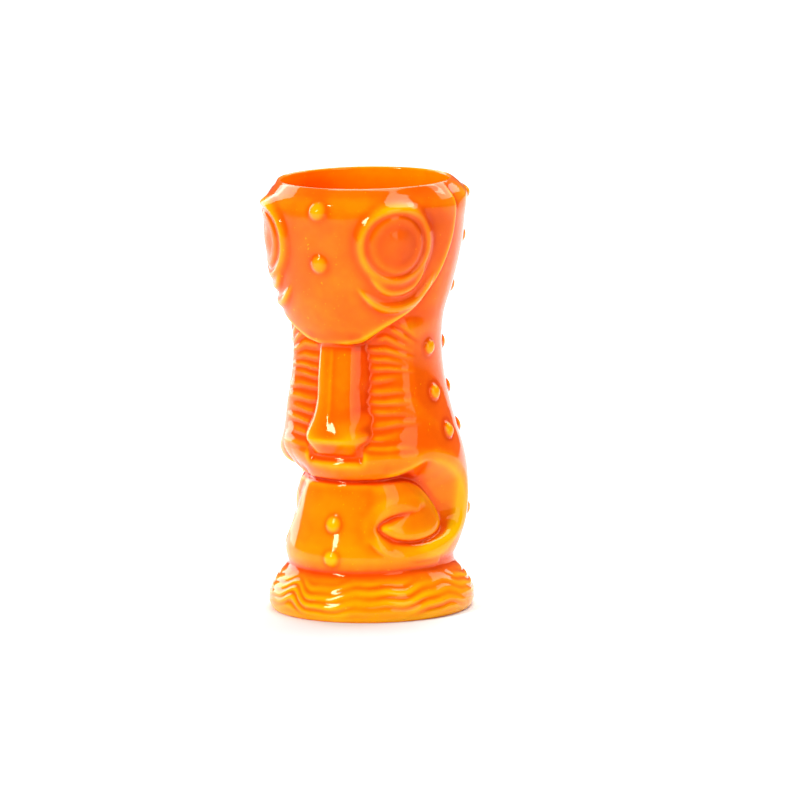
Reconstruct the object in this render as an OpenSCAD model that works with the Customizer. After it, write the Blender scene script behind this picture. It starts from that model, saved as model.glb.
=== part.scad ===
// Carved-face tiki mug: one glazed ceramic cup, built up from its sculpted members.
// The frame has +Z up and its origin at the middle of the foot. The face looks along -Y.
// Angles around the mug are measured from the middle of the face, positive towards +X.

/* [Overall heights] */
// Height from the table to the rim
mug_h = 155; // [130:1:190]
// Height of the flared foot
plinth_h = 17; // [13:1:21]
// Height of the chin, from the foot to the mouth
chin_h = 32; // [27:1:39]
// Height of the brow mask, from its pointed lower edge to the rim
mask_h = 56; // [47:1:68]

/* [Body radii] */
// Radius of the foot at its widest
plinth_r = 36.8; // [34:0.2:46]
// Radius of the neck between the foot and the belly
neck_r = 29.8; // [28:0.2:34]
// Radius of the belly behind the mouth
belly_r = 35.5; // [33:0.5:43]
// Radius of the waist behind the nose
waist_r = 26.8; // [25:0.2:32.4]
// Radius of the drinking bowl behind the brow
bowl_r = 36; // [33:0.5:43.5]
// Radius of the rim's outer edge
rim_r = 32.5; // [29:0.5:36]

/* [Clay walls] */
// Wall under the face, from the hollow to the deepest carving
face_wall = 3.3; // [2.7:0.1:4.2]
// Wall of the drinking bowl and of the back of the belly
bowl_wall = 4.2; // [3.4:0.1:5.2]
// Thickness of the rounded lip at the rim
lip_t = 3.2; // [2.6:0.1:4]
// Thickness of the floor above the table
floor_t = 8; // [5:0.5:10]
// Depth by which a clay sprig is pressed into the clay below it
bond = 0.3; // [0.2:0.05:0.5]

/* [Mask] */
// How far the mask stands proud of the bowl at the temples
mask_proud = 1.2; // [0.8:0.1:2.5]
// Angle from the middle of the face to each temple
temple_angle = 90; // [80:1:100]
// Height of the brow ridge over each eye
brow_proud = 1.6; // [1:0.1:2.2]

/* [Eyes] */
// Angle from the middle of the face to the middle of each eye
eye_angle = 45; // [38:1:50]
// Distance from the rim down to the middle of each eye
eye_drop = 19.7; // [17:0.1:24]
// Radius of the low dome of each eye
eye_r = 9.8; // [8:0.1:11]
// Radius of the ridge around each eye
socket_r = 13; // [12:0.1:15]
// Radius of the first fold under each eye
fold_r = 17.2; // [16:0.1:19]
// Distance from one fold to the next
fold_pitch = 6.4; // [5:0.1:8]

/* [Nose and cheeks] */
// Half the width of the nose at its bridge
bridge_w = 6.8; // [5:0.1:9]
// Half the width of the nose at the nostrils
nostril_w = 9.4; // [7:0.1:12]
// How much wider the nose is at the cheek than at its front, on each side
nose_slant = 2.2; // [0:0.1:3]
// How far the bridge stands out from the cheeks
bridge_proud = 5; // [4:0.1:7]
// How far the tip of the nose stands out from the cheeks
tip_proud = 5.4; // [4:0.1:8]
// How far the face is flattened beside the nose
cheek_flat = 5; // [3.5:0.1:5.2]
// Distance from one cheek wrinkle to the next
wrinkle_pitch = 4.2; // [3.2:0.1:6]
// Height of the cheek wrinkles
wrinkle_h = 0.5; // [0.2:0.05:0.8]

/* [Mouth and scrolls] */
// Height of the upper lip
lip_h = 8; // [6:0.5:10]
// Radius at the bottom of the mouth slit
mouth_r = 23; // [22:0.1:24]
// How far the chin and the scrolls stand out of the mouth slit
chin_proud = 2.6; // [2:0.1:4]
// Radius of the chin where it rolls under to the neck
chin_r = 30.4; // [29:0.1:34]
// Angle from the middle of the face to the middle of each scroll
scroll_angle = 60; // [56:1:64]
// Half the width of each scroll, measured around the mug
scroll_w = 15; // [12:0.1:16]
// Half the height of each scroll
scroll_h = 11; // [9:0.1:12]
// Width of the left scroll as a share of the right one
left_width = 0.74; // [0.65:0.01:1]
// Angle from the middle of the face to the jaw behind the scrolls
jaw_angle = 102; // [98:1:105]

/* [Beads] */
// Radius of the round beads on the sides and the back
bead_r = 2.6; // [2:0.1:3.2]
// Radius of the low beads on the forehead and the chin
dot_r = 3.2; // [2.5:0.1:4]
// Height of the low beads
dot_proud = 1.4; // [0.8:0.1:2]

/* [Foot] */
// Radius of the rounded lower edge of the foot
foot_edge = 4; // [3:0.1:5]
// Depth of the carved grain on the foot
grain_h = 0.5; // [0.2:0.05:0.8]
// Height of the bare clay ring that the mug stands on
ring_h = 1.2; // [0.8:0.1:2]
// Width of the bare clay ring
ring_w = 7; // [5:0.5:9]

/* [Hidden] */

glaze = "#ff8a00";
bare_clay = "#e8d9c0";

deg_per_rad = 180 / PI;
left = -1;
right = 1;

// Levels of the body, from the foot up
neck_z = plinth_h;
mouth_z = plinth_h + chin_h;
lip_top = mouth_z + lip_h;
belly_z = plinth_h + 0.8 * chin_h;
mask_z = mug_h - mask_h;
joint_z = mask_z + 11;
waist_z = mask_z - 4;
brow_z = mug_h - 7;
lip_z = mug_h - lip_t / 2;
eye_z = mug_h - eye_drop;
scroll_z = mouth_z - scroll_h - 0.8;
scroll_low = scroll_z - scroll_h;

// Radii that follow from the sizes above
waist_core = waist_r - cheek_flat - 0.9;
foot_core = neck_r - 3.8;
mask_r = bowl_r + mask_proud - 0.2;
mask_low_r = waist_r + 0.8;
tube_r = min(waist_core, mouth_r) - face_wall;

// Arcs of the body: the jaw meets the back of the body here, and the belly's hollow stays inside it
back_angle = jaw_angle + 6;
hollow_angle = back_angle + 10;

// ---- curves ----

function clamp(t) = min(max(t, 0), 1);

// Goes from 0 to 1 with a level start and a level end
function ease(t) = (1 - cos(180 * clamp(t))) / 2;

// Goes from 0 to 1 with a steep start and a level end
function swell(t) = sin(90 * clamp(t));

// Goes from 0 to 1 with a level start and a steep end
function roll(t) = 1 - cos(90 * clamp(t));

function blend(z, z0, r0, z1, r1) = r0 + (r1 - r0) * ease((z - z0) / (z1 - z0));

// A smooth hump from 0 at one end through 1 in the middle to 0 at the other
function hump(t) = sin(180 * clamp(t));

// A point at an angle around the mug
function at(a, r, z) = [r * sin(a), -r * cos(a), z];

// n + 1 evenly spaced values from a to b
function steps(a, b, n) = [for (i = [0 : n]) a + (b - a) * i / n];

function back_to_front(list) = [for (i = [len(list) - 1 : -1 : 0]) list[i]];

// ---- surfaces: radius at a height, or at an angle and a height ----

// The plain body, from the neck to the rim
function body_r(z) =
    z < belly_z ? neck_r + (belly_r - neck_r) * swell((z - neck_z) / (belly_z - neck_z))
    : z < mouth_z ? belly_r
    : z < waist_z ? blend(z, mouth_z, belly_r, waist_z, waist_r)
    : z < brow_z ? blend(z, waist_z, waist_r, brow_z, bowl_r)
    : bowl_r - (bowl_r - rim_r) * roll((z - brow_z) / (lip_z - brow_z));

// The trunk under the face members, from the neck to the joint where the bowl begins
function core_r(z) =
    z < mouth_z ? blend(z, neck_z + 9, foot_core, neck_z + 15, mouth_r)
    : z < lip_top + 8 ? blend(z, lip_top, mouth_r, lip_top + 8, waist_core)
    : waist_core + (body_r(joint_z) - 1.5 - waist_core) * roll((z - waist_z - 3) / (joint_z - waist_z - 3));

// The face between the mouth and the mask: flattened beside the nose, wrinkled over the cheeks
function flat_at(a, z) =
    cheek_flat * (1 - ease((abs(a) - 25) / (40 + 30 * ease((waist_z - 15 - z) / 20))));
function wrinkle_at(a, z) =
    wrinkle_h * ease((abs(a) - 12) / 8) * (1 - ease((abs(a) - 45) / 20))
    * ease((z - lip_top) / 6) * cos(360 * (z - lip_top + 1.2 * sin(4 * a)) / wrinkle_pitch);
function cheek_r(a, z) = body_r(z) - flat_at(a, z) + wrinkle_at(a, z);

// The mask, and the height of its lower edge at an angle
function mask_at(z) =
    z < brow_z - 6 ? mask_low_r + (mask_r - mask_low_r) * swell((z - mask_z) / (brow_z - 6 - mask_z))
    : mask_r - (mask_r - rim_r) * roll((z - brow_z) / (lip_z - brow_z));
function mask_edge(a) = let(t = abs(a) / temple_angle)
    mask_z + (t < 0.28 ? 0 : t < 0.72 ? 14 * (t - 0.28) / 0.44
              : 14 + (brow_z - 1 - mask_z - 14) * (1 - sqrt(max(0, 1 - pow((t - 0.72) / 0.28, 2)))));

// The angle on one side for a feature of the scroll or jaw: the left side is narrower and further back
function side_angle(side, a) = side == right ? a : jaw_angle + 2 - (jaw_angle + 2 - a) * left_width;

// The chin, from the mouth down to the neck, and how far round it reaches
function chin_at(z) = let(top = mouth_r + chin_proud)
    z > neck_z + 16 ? top : blend(z, neck_z + 3, chin_r, neck_z + 16, top);
function chin_reach(side, z) = let(near = side_angle(side, 27))
    near + (85 - near) * ease((scroll_low + 4.8 - z) / 9);

// The lower edge of the upper lip, which rises over the scrolls to meet the jaws
function lip_edge(a) = mouth_z + 0.4 + (lip_h - 1.4) * ease((abs(a) - 40) / 32);

// ---- solids ----

// A solid through rings of points, all with the same number of points. A ring that goes out along
// one surface and back along another, point for point, is capped as a strip between the two.
module loft(rings, closed = false, strip = false) {
    n = len(rings);
    m = len(rings[0]);
    last = (n - 1) * m;
    sides = [
        for (i = [0 : closed ? n - 1 : n - 2], j = [0 : m - 1])
            let(a = i * m + j, b = i * m + (j + 1) % m, up = (i + 1) % n * m)
                each [[a, b, up + (j + 1) % m], [a, up + (j + 1) % m, up + j]]
    ];
    caps = closed ? []
        : strip ? [for (j = [0 : m / 2 - 2]) let(far = m - 1 - j)
                    each [[far, far - 1, j + 1], [far, j + 1, j],
                          [last + j, last + j + 1, last + far - 1], [last + j, last + far - 1, last + far]]]
        : [[for (j = [m - 1 : -1 : 0]) j], [for (j = [0 : m - 1]) last + j]];
    polyhedron([for (ring = rings) each ring], concat(sides, caps));
}

// A wall swept around the mug: section gives its [radius, height] outline at each angle
module sweep(angles, section, closed = false, strip = false)
    loft([for (a = angles) [for (p = section(a)) at(a, p[0], p[1])]], closed, strip);

// The outline of a wall between an inner and an outer surface
function wall_section(a, outer_levels, inner_levels, outer, inner) =
    concat([for (z = outer_levels) [outer(a, z), z]],
           back_to_front([for (z = inner_levels) [inner(a, z), z]]));

// A point on the mask, by its distance and direction from a place on it
function on_mask(a, z, away, turn, up) = let(level = z + away * sin(turn))
    at(a + away * cos(turn) * deg_per_rad / mask_at(z), mask_at(level) + up, level);

// A point on the chin, placed in the same way
function on_chin(a, z, away, turn, up) = let(level = z + away * sin(turn))
    at(a + away * cos(turn) * deg_per_rad / chin_at(z), chin_at(level) + up, level);

// A low dome pressed onto a surface; place gives a point by distance, direction and height
module dome(radius, proud, place, around = 24, rows = 4) {
    top = [for (i = [1 : rows]) let(away = radius * i / (rows + 0.5))
        [for (k = [0 : around - 1]) place(away, 360 * k / around, proud * cos(90 * i / (rows + 0.5)))]];
    base = [for (i = [rows + 0.5, rows / 2, 0.5]) let(away = radius * i / (rows + 0.5))
        [for (k = [0 : around - 1]) place(away, 360 * k / around, -bond)]];
    loft([for (ring = concat(top, base)) back_to_front(ring)]);
}

// A solid of revolution over part of a turn, centred on the back of the mug
module turned_back(half_angle)
    rotate([0, 0, 90 - half_angle])
        rotate_extrude(angle = 2 * half_angle, $fn = 96)
            children();

body_levels = concat(steps(neck_z, mouth_z, 12), steps(mouth_z + 3, joint_z, 20));
bowl_levels = concat(steps(joint_z, brow_z, 14), steps(brow_z + 1, lip_z, 5));
core_levels = concat([neck_z], steps(neck_z + 9, neck_z + 15, 5), [lip_top],
                     steps(lip_top + 2, lip_top + 8, 4), steps(waist_z + 3, joint_z, 7));

// The room inside the belly, behind the throat
module belly_hollow()
    turned_back(180 - hollow_angle)
        polygon(concat([for (z = steps(neck_z + 5, waist_z - 12, 14)) [body_r(z) - bowl_wall, z]],
                       [[tube_r - 1, waist_z - 12], [tube_r - 1, neck_z + 5]]));

// The cup itself: floor, throat, drinking bowl and rim
module cup_wall() {
    throat = [for (z = core_levels) if (z > neck_z) [core_r(z) - face_wall, z]];
    bowl = [for (z = steps(joint_z + 3, brow_z, 12)) [body_r(z) - bowl_wall, z]];
    floor_r = core_r(neck_z) - face_wall;
    lip = [for (t = steps(0, 180, 12)) [rim_r - lip_t / 2 * (1 - cos(t)), lip_z + lip_t / 2 * sin(t)]];
    color(glaze)
        difference() {
            rotate_extrude($fn = 96)
                polygon(concat(
                    [[0, ring_h], [foot_core, ring_h]],
                    [for (z = core_levels) [core_r(z), z]],
                    [for (z = bowl_levels) [body_r(z), z]],
                    [for (i = [1 : len(lip) - 1]) lip[i]],
                    back_to_front(bowl),
                    back_to_front(throat),
                    [for (t = steps(0, 90, 6)) [floor_r - 4 + 4 * cos(t), floor_t + 4 - 4 * sin(t)]],
                    [[0, floor_t]]));
            belly_hollow();
        }
}

// The plain back of the body, from the foot to the bowl
module body_back()
    color(glaze)
        difference() {
            turned_back(180 - back_angle)
                polygon(concat([for (z = body_levels) [body_r(z), z]],
                               back_to_front([for (z = core_levels) [core_r(z), z]])));
            belly_hollow();
        }

// The brow mask, a plate that stands proud of the bowl with a crisp lower edge
module mask_plate() {
    top = brow_z + 3;
    angles = [for (t = steps(-1, 1, 40)) temple_angle * sin(90 * t)];
    color(glaze)
        sweep(angles, function(a)
            wall_section(a, steps(mask_edge(a), top, 18), steps(mask_edge(a), top, 18),
                         function(a, z) mask_at(z),
                         function(a, z) body_r(z) - bond), strip = true);
}

// The soft ridge across the brow, fullest over the eyes
module brow_ridge() {
    reach = temple_angle - 4;
    color(glaze)
        loft([for (t = steps(-1, 1, 40)) let(
                a = reach * t,
                fade = 0.25 + 0.75 * ease((1 - abs(t)) / 0.2),
                up = brow_proud * fade * (0.45 + 0.55 * ease(abs(a) / eye_angle)))
            [for (turn = [0 : 45 : 315])
                let(z = brow_z - 0.5 + 2.6 * fade * cos(turn), height = sin(turn) > 0 ? up + 0.6 : 0.5)
                    at(a, mask_at(z) - 0.6 + height * sin(turn), z)]]);
}

module eye(side)
    color(glaze)
        dome(eye_r, 1.7, function(away, turn, up) on_mask(side * eye_angle, eye_z, away, turn, up));

module eye_socket(side) {
    half_w = 2.3;
    color(glaze)
        loft([for (turn = [0 : 10 : 350])
            [for (k = [0 : 45 : 315])
                on_mask(side * eye_angle, eye_z, socket_r + half_w * cos(k), turn,
                        sin(k) > 0 ? 1.5 * sin(k) : bond * sin(k))]], true);
}

// Two crescents that hang under the eye and taper to both ends
module eye_folds(side)
    color(glaze)
        for (i = [0, 1])
            loft([for (t = steps(0, 1, 18)) let(
                    turn = 270 + 62 * (2 * t - 1),
                    half_w = 0.5 + 1.3 * hump(t),
                    away = fold_r + i * fold_pitch - (1.6 - 1.2 * i) * (1 - hump(t)))
                [for (k = [0 : 45 : 315])
                    on_mask(side * eye_angle, eye_z, away + half_w * cos(k), turn,
                            sin(k) > 0 ? 0.8 * half_w * sin(k) : bond * sin(k))]]);

module forehead_beads()
    color(glaze)
        for (z = [brow_z - 0.8, brow_z - 19.5])
            dome(dot_r, dot_proud, function(away, turn, up) on_mask(0, z, away, turn, up), 20, 3);

// How far the face stands out beside the nose, less the bond
function face_at(x, z) = sqrt(pow(cheek_r(0, z), 2) - x * x) - bond;

// The long straight nose: a bar that widens and stands out towards the nostrils
module nose() {
    tip_z = lip_top + 6;
    foot_z = lip_top + 1;
    top_z = mask_z + 2;
    levels = concat([foot_z, foot_z + 1.2, foot_z + 2.8], steps(tip_z, top_z, 14));
    color(glaze)
        loft([for (z = levels) let(
                t = 1 - ease((z - tip_z) / (top_z - tip_z) / 0.75),
                under = clamp((tip_z - z) / (tip_z - foot_z)),
                half_w = bridge_w + (nostril_w - bridge_w) * t - 1.6 * under * under,
                out = cheek_r(0, z) + bridge_proud + (tip_proud - bridge_proud) * t - 3.4 * under)
            concat([for (k = steps(-1, 1, 10)) let(
                            x = half_w * sin(90 * k) + sign(k) * nose_slant * pow(abs(k), 7),
                            base = face_at(x, z))
                        [x, -(out - (out - base) * pow(abs(k), 7)), z]],
                   [for (x = half_w * [0.6, 0, -0.6]) [x, -face_at(x, z), z]])]);
}

// A cheek: flattened beside the nose and wrinkled, with plain clay behind the mask above it
module cheek(side) {
    angles = side == right ? concat(steps(0, 72, 12), steps(80, back_angle, 4))
                           : concat(steps(-back_angle, -80, 4), steps(-72, 0, 12));
    color(glaze)
        sweep(angles, function(a)
            let(split = min(mask_edge(a), joint_z - 3),
                levels = concat(steps(lip_top, split, 40), [split + 0.4, joint_z]))
                wall_section(a, levels, levels,
                             function(a, z) z > split ? body_r(z) : cheek_r(a, z),
                             function(a, z) core_r(z)), strip = true);
}

// The upper lip: a full roll that overhangs the mouth and rises at both ends
module upper_lip()
    color(glaze)
        sweep(steps(-72, 72, 36), function(a)
            let(low = lip_edge(a), full = cheek_r(a, lip_top) - mouth_r)
                wall_section(a, [for (t = steps(0, 1, 7)) low + (lip_top - low) * roll(t)], [low, lip_top],
                             function(a, z)
                                 mouth_r + full * (0.2 + 0.8 * swell((z - low) / (lip_top - low))),
                             function(a, z) mouth_r));

// The chin: hollowed below the mouth, flaring to a roll above the foot
module chin_plate()
    color(glaze)
        loft([for (z = concat(steps(neck_z, neck_z + 3, 3), steps(neck_z + 5, mouth_z - 1.2, 14),
                              [mouth_z - 0.4])) let(
                out = chin_at(z) - (z < neck_z + 3 ? 0.8 * roll((neck_z + 3 - z) / 3) : 0)
                      - (z > mouth_z - 1 ? 0.8 : 0))
            concat([for (a = steps(-chin_reach(left, z), chin_reach(right, z), 24)) at(a, out, z)],
                   [for (a = steps(chin_reach(right, z), -chin_reach(left, z), 24)) at(a, core_r(z), z)])],
             strip = true);

// A scroll: an oval boss with a groove that curls in under its upper band
module scroll(side) {
    count = 40;
    rows = 9;
    out = chin_proud + 0.4;
    half_w = side == right ? scroll_w : scroll_w * left_width;
    // The groove runs from the lower left of the boss to just past its middle
    function groove(x, z) = let(t = (x + half_w * 0.75) / (half_w * 1.05))
        t < 0 || t > 1.1 ? 0
        : 2 * (1.1 - t) * exp(-pow((z + 3.4 - 4.6 * ease(t)) / 1.3, 2));
    function face(away, turn) = let(x = away * half_w * cos(turn), z = away * scroll_h * sin(turn))
        [x, z, out * pow(1 - pow(away, 4), 0.5) - groove(x, z)];
    function place(x, z, up) =
        let(turn = side_angle(side, scroll_angle) + x * deg_per_rad / (mouth_r + out))
            at(side * turn, core_r(scroll_z + z) + up, scroll_z + z);
    top = [for (i = [1 : rows]) [for (k = [0 : count - 1])
        let(p = face(i / (rows + 0.3), side * 360 * k / count)) place(p[0], p[1], max(p[2], 0.3))]];
    base = [for (i = [rows + 0.3, rows * 0.75, rows * 0.5, 1]) [for (k = [0 : count - 1])
        let(away = i / (rows + 0.3), turn = side * 360 * k / count)
            place(away * half_w * cos(turn), away * scroll_h * sin(turn), -bond)]];
    color(glaze)
        loft([for (ring = concat(top, base)) back_to_front(ring)]);
}

// A jaw: the side of the belly, cut away in a curve around the scroll
module jaw(side) {
    levels = concat(steps(neck_z, scroll_z, 12), steps(scroll_z + 1.5, lip_top, 12));
    function front(z) = let(near = side_angle(side, 72),
                            reach = z < scroll_z ? scroll_z - neck_z - 2.2 : lip_top - scroll_z - 1.8)
        near + (jaw_angle - near) * sqrt(max(0, 1 - pow((z - scroll_z) / reach, 2)));
    color(glaze)
        loft([for (z = levels) let(a = side * front(z), b = side * back_angle)
            side == right
                ? concat([for (t = steps(a, b, 5)) at(t, max(cheek_r(t, z), core_r(z) + 1), z)],
                         [for (t = steps(b, a, 5)) at(t, core_r(z), z)])
                : concat([for (t = steps(b, a, 5)) at(t, max(cheek_r(t, z), core_r(z) + 1), z)],
                         [for (t = steps(a, b, 5)) at(t, core_r(z), z)])], strip = true);
}

module chin_beads()
    color(glaze)
        for (z = [mouth_z - 15, neck_z + 4.7])
            dome(dot_r - 0.4, dot_proud - 0.3,
                 function(away, turn, up) on_chin(0, z, away, turn, up), 20, 3);

// A round bead set on the plain body
module bead(a, z)
    difference() {
        translate(at(a, body_r(z) - 0.3, z))
            sphere(r = bead_r, $fn = 32);
        rotate_extrude($fn = 96)
            polygon(concat([[0, neck_z]], [for (y = body_levels) [body_r(y), y]],
                           [for (y = bowl_levels) [body_r(y), y]], [[0, lip_z]]));
    }

module side_beads(side)
    color(glaze) {
        for (p = [[82, mask_z - 3], [84, mask_z - 19], [91, mask_z - 33]])
            bead(side * p[0], p[1]);
        for (z = [mug_h - 6, mug_h - 22, mug_h - 40, mask_z - 4, mask_z - 20, mask_z - 34, mouth_z - 15])
            bead(side * 125, z);
    }

module back_beads()
    color(glaze)
        for (z = [mug_h - 14, mug_h - 31, mask_z - 12, mask_z - 27, mouth_z - 6])
            bead(180, z);

// The flared foot, with wavy grain carved around it
module plinth() {
    function foot_r(z) = z < foot_edge
        ? plinth_r - foot_edge * 0.6 * (1 - swell(z / foot_edge))
        : plinth_r - (plinth_r - neck_r) * (1 - swell((neck_z - z) / (neck_z - foot_edge)));
    function grain(a, z) = grain_h * hump(z / neck_z)
        * sin(360 * (z + 1.6 * sin(3 * a) + 1.1 * sin(7 * a + 40)) / 4.4);
    color(glaze)
        sweep([for (i = [0 : 71]) 5 * i], function(a)
            wall_section(a, steps(ring_h, neck_z, 14), [ring_h, neck_z],
                         function(a, z) foot_r(z) + grain(a, z),
                         function(a, z) foot_core), true);
}

// The bare ring that the mug stands on
module foot_ring()
    color(bare_clay)
        rotate_extrude($fn = 96)
            polygon([[foot_core, 0], [foot_core + ring_w, 0],
                     [foot_core + ring_w + 0.4, ring_h], [foot_core - 0.4, ring_h]]);

cup_wall();
body_back();
mask_plate();
brow_ridge();
eye(left);  // eye_left
eye(right);  // eye_right
eye_socket(left);  // eye_socket_left
eye_socket(right);  // eye_socket_right
eye_folds(left);  // eye_folds_left
eye_folds(right);  // eye_folds_right
forehead_beads();
nose();
cheek(left);  // cheek_left
cheek(right);  // cheek_right
upper_lip();
chin_plate();
scroll(left);  // scroll_left
scroll(right);  // scroll_right
jaw(left);  // jaw_left
jaw(right);  // jaw_right
chin_beads();
side_beads(left);  // side_beads_left
side_beads(right);  // side_beads_right
back_beads();
plinth();
foot_ring();
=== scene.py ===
"""A glazed ceramic tiki mug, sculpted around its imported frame.

The whole outer surface is one relief: a map of radius over angle and height, in millimetres,
built up feature by feature. It is meshed once, then cut along the outlines of the sculpted
members, so that neighbouring pieces meet with no seam. Each piece is then closed onto a
hidden core, and the cup's own solid fills the middle.

Angles are in degrees from the middle of the face, positive to the viewer's right.
"""
import bpy
import numpy as np
import openvdb
from mathutils import Matrix, Vector
from math import radians, sin, cos, pi


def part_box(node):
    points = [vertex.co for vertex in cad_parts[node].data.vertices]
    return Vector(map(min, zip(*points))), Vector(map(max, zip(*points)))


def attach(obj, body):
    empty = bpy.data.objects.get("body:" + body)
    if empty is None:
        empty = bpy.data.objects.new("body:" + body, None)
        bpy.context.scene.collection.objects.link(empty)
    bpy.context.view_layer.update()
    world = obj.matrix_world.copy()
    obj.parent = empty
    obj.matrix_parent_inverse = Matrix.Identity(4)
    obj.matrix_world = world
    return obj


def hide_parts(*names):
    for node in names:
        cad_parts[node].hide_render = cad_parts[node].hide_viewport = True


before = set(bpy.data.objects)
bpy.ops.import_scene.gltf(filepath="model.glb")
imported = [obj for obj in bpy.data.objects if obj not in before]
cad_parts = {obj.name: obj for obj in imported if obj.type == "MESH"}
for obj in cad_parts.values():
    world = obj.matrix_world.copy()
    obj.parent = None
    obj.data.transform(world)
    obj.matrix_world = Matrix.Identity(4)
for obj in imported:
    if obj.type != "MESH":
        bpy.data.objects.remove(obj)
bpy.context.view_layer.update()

MM = 0.001

# ---- places taken from the frame, in millimetres ----
mug_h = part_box("cup_wall")[1][2] / MM
neck_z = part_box("plinth")[1][2] / MM
ring_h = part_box("foot_ring")[1][2] / MM

# ---- the relief map: one row per height, one column per angle from the middle of the face ----
COLUMNS = 1080
ROW = 0.25
LOW, HIGH = -1.0, mug_h + 1.0
angles = (np.arange(COLUMNS) + 0.5) * 360 / COLUMNS - 180
heights = np.arange(LOW, HIGH, ROW)
P, Z = [m.astype(np.float32) for m in np.meshgrid(angles, heights)]
A = np.abs(P)
MEAN_R = 30.0           # for a length along the surface where no exact radius is needed


def clamp(t):
    return np.clip(t, 0.0, 1.0)


def ease(t):
    """From 0 to 1, level at both ends."""
    t = clamp(t)
    return t * t * (3 - 2 * t)


def bulge(t):
    """From 0 to 1 along a quarter circle: steep start, level end."""
    t = clamp(t)
    return np.sqrt(1 - (1 - t) ** 2)


def soft_max(a, b, width):
    """The larger of two surfaces, with the corner between them filled over width."""
    h = clamp(0.5 + 0.5 * (a - b) / width)
    return b + (a - b) * h + width * h * (1 - h)


def curve(z, points):
    """A smooth profile through a few (height, radius) points."""
    zs, rs = np.array(points, float).T
    slopes = np.gradient(rs, zs)
    i = np.clip(np.searchsorted(zs, z) - 1, 0, len(zs) - 2)
    width = zs[i + 1] - zs[i]
    t = np.clip((z - zs[i]) / width, 0, 1)
    a, b = slopes[i] * width, slopes[i + 1] * width
    return ((2 * t ** 3 - 3 * t ** 2 + 1) * rs[i] + (t ** 3 - 2 * t ** 2 + t) * a
            + (3 * t ** 2 - 2 * t ** 3) * rs[i + 1] + (t ** 3 - t ** 2) * b)


def blur(m, size):
    """A Gaussian blur of a map, size in millimetres. Angles wrap round."""
    def kernel(step):
        n = max(1, int(3 * size / step))
        k = np.exp(-0.5 * (np.arange(-n, n + 1) * step / size) ** 2)
        return n, (k / k.sum()).astype(np.float32)

    n, k = kernel(ROW)
    tall = np.pad(m, ((n, n), (0, 0)), mode="edge")
    out = sum(w * tall[i:i + m.shape[0]] for i, w in enumerate(k))
    n, k = kernel(MEAN_R * 2 * pi / COLUMNS)
    wide = np.pad(out, ((0, 0), (n, n)), mode="wrap")
    return sum(w * wide[:, i:i + m.shape[1]] for i, w in enumerate(k))


SPAN = 8                # points on a line from one given point to the next


def spline(points, per_span=SPAN):
    """A smooth line through given (angle, height) points."""
    p = np.array(points, float)
    p = np.vstack([2 * p[0] - p[1], p, 2 * p[-1] - p[-2]])
    t = np.linspace(0, 1, per_span, endpoint=False)[:, None]
    spans = [0.5 * (2 * b + (c - a) * t + (2 * a - 5 * b + 4 * c - d) * t ** 2
                    + (3 * b - a - 3 * c + d) * t ** 3)
             for a, b, c, d in zip(p[:-3], p[1:-2], p[2:-1], p[3:])]
    return np.vstack(spans + [p[-2:-1]])


def to_line(a, z, line, radius):
    """Distance in millimetres from every map point to a line of (angle, height) points,
    and how far along the line the nearest point lies, from 0 to 1."""
    arc = radius * pi / 180
    best = np.full(Z.shape, 1e6, np.float32)
    along = np.zeros(Z.shape, np.float32)
    n = len(line) - 1
    for i in range(n):
        x0, z0 = line[i][0] * arc, line[i][1]
        dx, dz = line[i + 1][0] * arc - x0, line[i + 1][1] - z0
        px, pz = a * arc - x0, z - z0
        t = clamp((px * dx + pz * dz) / max(dx * dx + dz * dz, 1e-9))
        d = (px - t * dx) ** 2 + (pz - t * dz) ** 2
        closer = d < best
        best = np.where(closer, d, best)
        along = np.where(closer, (i + t) / n, along)
    return np.sqrt(best), along


def inside(a, z, outline):
    """True where a map point lies within a closed outline of (angle, height) points."""
    hit = np.zeros(Z.shape, bool)
    x1, z1 = outline[-1]
    for x2, z2 in outline:
        if z1 != z2:
            crosses = (z < z1) != (z < z2)
            hit ^= crosses & (a < (x2 - x1) * (z - z1) / (z2 - z1) + x1)
        x1, z1 = x2, z2
    return hit


def depth_in(a, z, outline, radius):
    """Distance in millimetres from an outline: above 0 inside it, below 0 outside."""
    away, _ = to_line(a, z, outline + outline[:1], radius)
    return np.where(inside(a, z, outline), away, -away)


EYE_ANGLE, EYE_Z, EYE_R = 45, 135.3, 36.8       # the middle of each eye


def around_eye():
    """Distance in millimetres and direction from the middle of the eye, on both sides."""
    dx = (A - EYE_ANGLE) * EYE_R * pi / 180
    dz = Z - EYE_Z
    return np.hypot(dx, dz), np.arctan2(dz, dx)


def bead(surface, angle, height, size, proud, both=True):
    """The surface with a round bead on it, or one on each side."""
    row = int((height - LOW) / ROW)
    place = surface[row, int((angle + 180) % 360 * COLUMNS / 360)]
    turn = (A if both else np.abs((P - angle + 180) % 360 - 180) + angle) - angle
    d = np.hypot(turn * place * pi / 180, Z - height) / size
    return surface + proud * clamp(1 - d * d) ** 0.7


# ---- the plain body ----
BODY = [(neck_z, 30.0), (neck_z + 2, 29.9), (21.5, 31.1), (25.7, 32.8), (30, 34.2),
        (35.5, 35.1), (42, 35.5), (49, 35.3), (57, 34.1), (66, 31.5), (75, 29.2), (84, 27.5),
        (93, 26.7), (100, 26.8), (107, 27.8), (115, 30.3), (124, 32.8), (132, 34.5),
        (140, 35.5), (146, 35.7), (150, 34.7), (152.5, 33.0), (154.5, 31.3)]
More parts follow.
